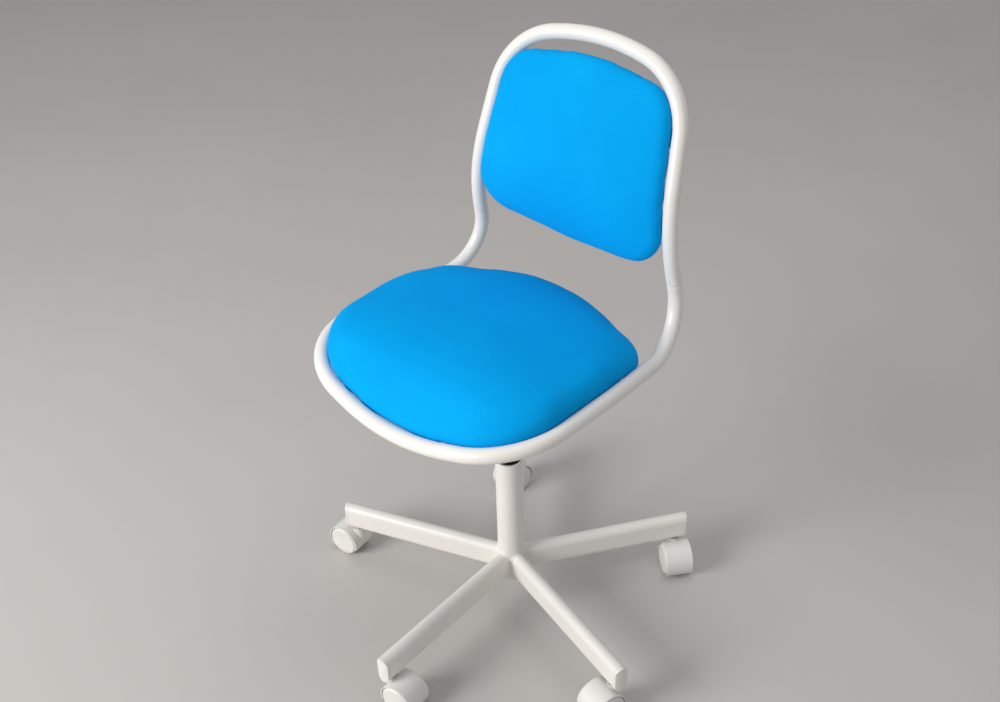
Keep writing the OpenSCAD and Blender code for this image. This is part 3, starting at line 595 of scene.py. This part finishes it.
def hem(label, node, padding, body, towards):
    line = spaced(board_outline(node, towards), True, HEM_STEP)
    count = len(line)
    middle = sum(line, Vector()) / count
    staples = round(count * HEM_STEP / STAPLE_GAP)
    line = eased(line, 2)
    outward = []
    for k in range(count):
        out = (line[(k + 1) % count] - line[k - 1]).cross(towards).normalized()
        outward.append(out if out.dot(line[k] - middle) > 0 else -out)
    cloth = surface(padding)

    def height(k, out):
        start = line[k] + outward[k] * out + towards * HEM_SEARCH
        hit = cloth.ray_cast(start, -towards, 2 * HEM_SEARCH)[0]
        return (hit - line[k]).dot(towards) if hit is not None else 0.0

    levels = [eased([height(k, out) for k in range(count)], 6) for out in HEM_OUT]
    mesh = bmesh.new()
    rings = []
    for k in range(count):
        pull = math.sin(k * 2 * math.pi * staples / count)
        inner = HEM_WIDTH + PULL_IN * pull + WAVE * math.sin(k * 0.37)
        thick = HEM_THICK + PULL_UP * pull
        # Across the hem from the padding inwards: out from the board's edge, up from its face
        profile = [(out, level[k] + lift) for out, level, lift in zip(HEM_OUT, levels, HEM_LIFT)]
        profile += [
            (0.0008, max(0, levels[2][k] * 0.4) + thick), (-0.002, thick + 0.0003),
            (-0.006, thick), (0.0015 - inner, thick), (-inner, thick * 0.6),
            (0.0003 - inner, -0.0003),
        ]
        rings.append([mesh.verts.new(line[k] + outward[k] * out + towards * up)
                      for out, up in profile])
    skin(mesh, rings, True)
    finished(f"{label}_hem", mesh, "blue_fabric", body)

    mesh = bmesh.new()
    for i in range(staples):
        k = round((i + 0.5) * count / staples) % count
        turn = math.radians(STAPLE_TURN * math.sin(i * 2.4))
        along = (line[(k + 1) % count] - line[k - 1]).normalized()
        along = (along * math.cos(turn) + outward[k] * math.sin(turn)).normalized()
        across = along.cross(towards).normalized()
        inward = HEM_WIDTH * STAPLE_PLACE + STAPLE_STRAY * math.sin(i * 1.7)
        at = line[k] - outward[k] * inward + towards * STAPLE_LIFT
        wire(mesh, at, along, across, towards)
    finished(f"{label}_staples", mesh, "bright_steel", body)


for label, node, padding, rough in (("seat", "seat_board", seat_padding, -SEAT_UP),
                                    ("back", "back_board", back_padding, -BACK_FRONT)):
    faces = [f for f in nodes[node].data.polygons if f.normal.dot(rough) > FACES_IT]
    towards = sum((f.normal * f.area for f in faces), Vector()).normalized()
    hem(label, node, padding, "seat", towards)


# Weld beads, painted over with the frame
COLUMN_R, ARM_W, ARM_H, ARM_LOW = 0.0195, 0.020, 0.0425, 0.0515
ARMS, FIRST_ARM, ARM_POINTS = 5, 270, 72
WELD_STEP, WELD_SIDES, ARM_WELD_R, BAR_WELD_R = 0.0022, 10, 0.0017, 0.0019
WELD_TIP, TIP_POINTS = 0.35, 3      # an open bead thins towards its ends
WELD_RIPPLE = 0.10
BAR_END = 0.006                     # the stretch of a cross bar that counts as its end


def bead(name, line, radius, closed, body):
    count = len(line)
    mesh = bmesh.new()
    rings = []
    a = None
    for k, at in enumerate(line):
        before = line[k - 1] if closed or k > 0 else at
        after = line[(k + 1) % count] if closed or k < count - 1 else at
        along = (after - before).normalized()
        a = (along.orthogonal() if a is None else a - along * a.dot(along)).normalized()
        b = along.cross(a)
        tip = WELD_TIP + (1 - WELD_TIP) * min(k, count - 1 - k) / TIP_POINTS
        fade = 1 if closed else min(1, tip)
        r = radius * fade * (1 + WELD_RIPPLE * math.sin(k * 1.9))
        rings.append([mesh.verts.new(at + (a * math.cos(t) + b * math.sin(t)) * r)
                      for t in (2 * math.pi * j / WELD_SIDES for j in range(WELD_SIDES))])
    skin(mesh, rings, closed)
    finished(name, mesh, "white_steel", body)


def arm_root(angle):
    """The line where a flat-oval arm meets the round column."""
    points = []
    for j in range(ARM_POINTS):
        t = 2 * math.pi * j / ARM_POINTS
        y = ARM_W / 2 * math.cos(t)
        z = ARM_W / 2 * math.sin(t) + math.copysign((ARM_H - ARM_W) / 2, math.sin(t))
        z = z + ARM_LOW + ARM_H / 2
        x = math.sqrt(COLUMN_R ** 2 - y ** 2)
        points.append(Vector((x * math.cos(angle) - y * math.sin(angle),
                              x * math.sin(angle) + y * math.cos(angle), z)))
    return points


for k in range(ARMS):
    line = spaced(arm_root(math.radians(FIRST_ARM + 360 // ARMS * k)), True, WELD_STEP)
    bead(f"arm_weld_{k + 1}", line, ARM_WELD_R, True, "base")

for node, label in (("seat_bar_front", "front"), ("seat_bar_rear", "rear")):
    points = [v.co.copy() for v in nodes[node].data.vertices]
    for side, hand in ((1, "left"), (-1, "right")):
        reach = max(p.x * side for p in points)
        edge = sorted((p for p in points if p.x * side > reach - BAR_END), key=lambda p: p.y)
        low_edge = [p for p in edge if p.z < sum(q.z for q in edge) / len(edge)]
        line = spaced([low_edge[0], low_edge[-1]], False, WELD_STEP)
        bead(f"bar_weld_{label}_{hand}", line, BAR_WELD_R, False, "seat")


# Floor, world and lamps: a wide soft window from the front, and a little light from above
FLOOR_HALF = 14
WORLD_TINT, WORLD_STRENGTH = (0.93, 0.95, 1.0, 1), 0.36
BACKGROUND = colour(208, 205, 202)


def make_floor():
    s = FLOOR_HALF
    mesh = bpy.data.meshes.new("floor")
    mesh.from_pydata([(-s, -s, 0), (s, -s, 0), (s, s, 0), (-s, s, 0)], [], [(0, 1, 2, 3)])
    floor = bpy.data.objects.new("floor", mesh)
    scene.collection.objects.link(floor)
    m = Nodes("floor_material")
    pale = m.drift(1.6, 3, colour(206, 202, 198), colour(201, 197, 193))
    mesh.materials.append(m.finish(base_color=pale, roughness=0.75, specular_ior_level=0.2))


def make_world():
    """Even light, with a plain pale background where the camera or a reflection sees it."""
    world = bpy.data.worlds.new("world")
    scene.world = world
    world.use_nodes = True
    tree = world.node_tree
    light = tree.nodes["Background"]
    light.inputs["Color"].default_value = WORLD_TINT
    light.inputs["Strength"].default_value = WORLD_STRENGTH
    seen = tree.nodes.new("ShaderNodeBackground")
    seen.inputs["Color"].default_value = BACKGROUND
    seen.inputs["Strength"].default_value = 1.0
    path = tree.nodes.new("ShaderNodeLightPath")
    rays = path.outputs["Is Camera Ray"]
    for kind in ("Is Glossy Ray", "Is Transmission Ray"):
        either = tree.nodes.new("ShaderNodeMath")
        either.operation = "MAXIMUM"
        tree.links.new(rays, either.inputs[0])
        tree.links.new(path.outputs[kind], either.inputs[1])
        rays = either.outputs[0]
    mix = tree.nodes.new("ShaderNodeMixShader")
    for k, source in enumerate((rays, light.outputs[0], seen.outputs[0])):
        tree.links.new(source, mix.inputs[k])
    tree.links.new(mix.outputs[0], tree.nodes["World Output"].inputs[0])


def lamp(name, at, target, width, power, tint):
    data = bpy.data.lights.new(name, "AREA")
    data.shape = "SQUARE"
    data.size = width
    data.energy = power
    data.color = tint
    item = bpy.data.objects.new(name, data)
    item.location = at
    item.rotation_mode = "QUATERNION"
    item.rotation_quaternion = (Vector(target) - Vector(at)).to_track_quat("-Z", "Y")
    scene.collection.objects.link(item)


make_floor()
make_world()
lamp("window", at=(-1.05, -2.75, 1.55), target=(0, 0, 0.4), width=1.5, power=76,
     tint=(1.0, 0.985, 0.96))
lamp("ceiling", at=(0.3, 0.4, 3.0), target=(0, 0, 0.3), width=2.4, power=18,
     tint=(1.0, 0.99, 0.98))
scene.view_settings.view_transform = "Standard"
